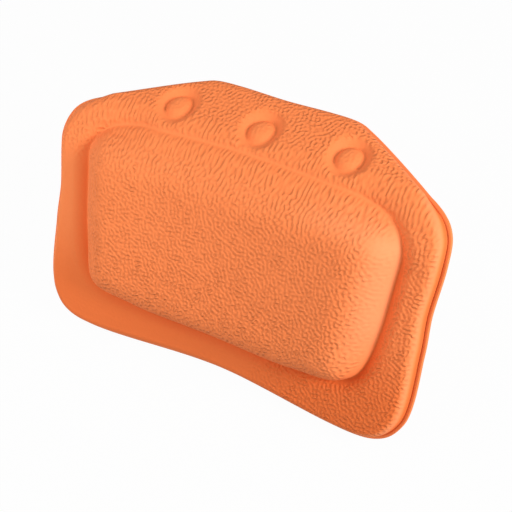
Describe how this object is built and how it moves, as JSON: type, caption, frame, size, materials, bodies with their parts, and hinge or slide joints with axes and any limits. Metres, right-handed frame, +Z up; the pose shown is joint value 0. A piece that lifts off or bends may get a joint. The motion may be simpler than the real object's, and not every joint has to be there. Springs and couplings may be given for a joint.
{
  "type": "bath pillow",
  "caption": "Padded head cushion on a welded foam sheet, with a bent flap held to the rim of a bath by turning suction cups.",
  "frame": {"origin": "middle of the centre suction cup's contact circle, on the level rim of the bath", "axes": "+X across the pillow to the right as the bather faces it from the bath, +Y away from the bather, +Z up, square to the rim"},
  "size_m": [0.3215, 0.1649, 0.1655],
  "materials": {
    "skin_front": "orange foamed vinyl with an embossed leather grain, satin",
    "skin_back": "orange vinyl sheet with a fine grain, matte",
    "pad_foam": "open-cell foam, cream",
    "cushion_foam": "open-cell foam, pale cream",
    "socket_plastic": "white polypropylene, satin",
    "cup_vinyl": "clear soft vinyl, glossy"
  },
  "bodies": {
    "pillow": {"front_skin": "skin_front", "back_skin": "skin_back", "base_pad": "pad_foam", "cushion_foam": "cushion_foam", "socket_left": "socket_plastic", "socket_centre": "socket_plastic", "socket_right": "socket_plastic"},
    "cup_left": {"suction_cup_left": "cup_vinyl"},
    "cup_centre": {"suction_cup_centre": "cup_vinyl"},
    "cup_right": {"suction_cup_right": "cup_vinyl"}
  },
  "joints": [
    {"name": "cup_left_spin", "type": "hinge", "parent": "pillow", "child": "cup_left", "pos_m": [-0.0705, 0, 0], "axis": [0, 0, 1], "continuous": true},
    {"name": "cup_centre_spin", "type": "hinge", "parent": "pillow", "child": "cup_centre", "pos_m": [0, 0, 0], "axis": [0, 0, 1], "continuous": true},
    {"name": "cup_right_spin", "type": "hinge", "parent": "pillow", "child": "cup_right", "pos_m": [0.0705, 0, 0], "axis": [0, 0, 1], "continuous": true}
  ]
}
